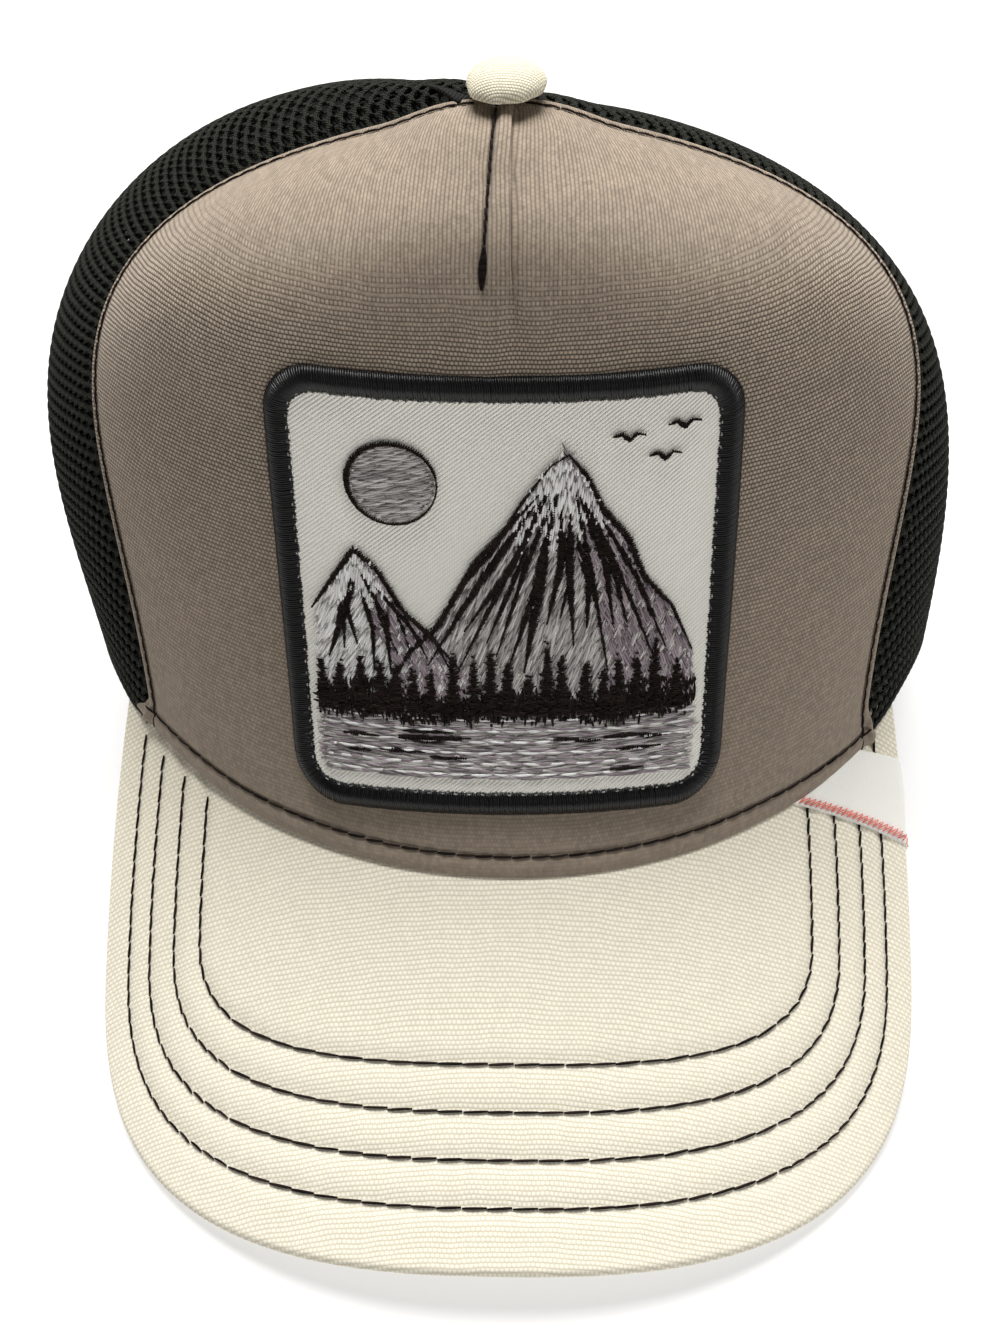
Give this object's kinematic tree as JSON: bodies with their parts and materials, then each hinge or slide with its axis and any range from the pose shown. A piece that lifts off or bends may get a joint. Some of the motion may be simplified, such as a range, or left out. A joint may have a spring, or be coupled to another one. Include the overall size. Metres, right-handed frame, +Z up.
{
  "type": "trucker hat",
  "caption": "Trucker hat with a canvas front panel, open mesh sides and back, a curved stitched peak, a bordered front patch and a snap strap.",
  "frame": {"origin": "under the middle of the hat's box, at the height of the table that it rests on", "axes": "+Z up, -Y towards the front of the peak, +X towards the side with the ribbon tag"},
  "size_m": [0.174, 0.2354, 0.1689],
  "materials": {
    "canvas": "matt taupe canvas in a plain weave",
    "mesh": "black knitted open mesh",
    "band": "black woven tape",
    "peak_cloth": "matt cream cotton cloth",
    "twill": "white twill with a diagonal rib",
    "thread": "glossy black embroidery thread",
    "ribbon": "off-white woven ribbon",
    "strap_plastic": "black moulded plastic"
  },
  "bodies": {
    "root": {"front_panel": "canvas", "mesh_side_left": "mesh", "mesh_side_right": "mesh", "mesh_back_left": "mesh", "mesh_back_right": "mesh", "back_binding": "band", "peak": "peak_cloth", "button": "peak_cloth", "patch_ground": "twill", "patch_border": "thread", "side_tag": "ribbon", "sweatband": "band", "snap_strap": "strap_plastic"}
  },
  "joints": []
}
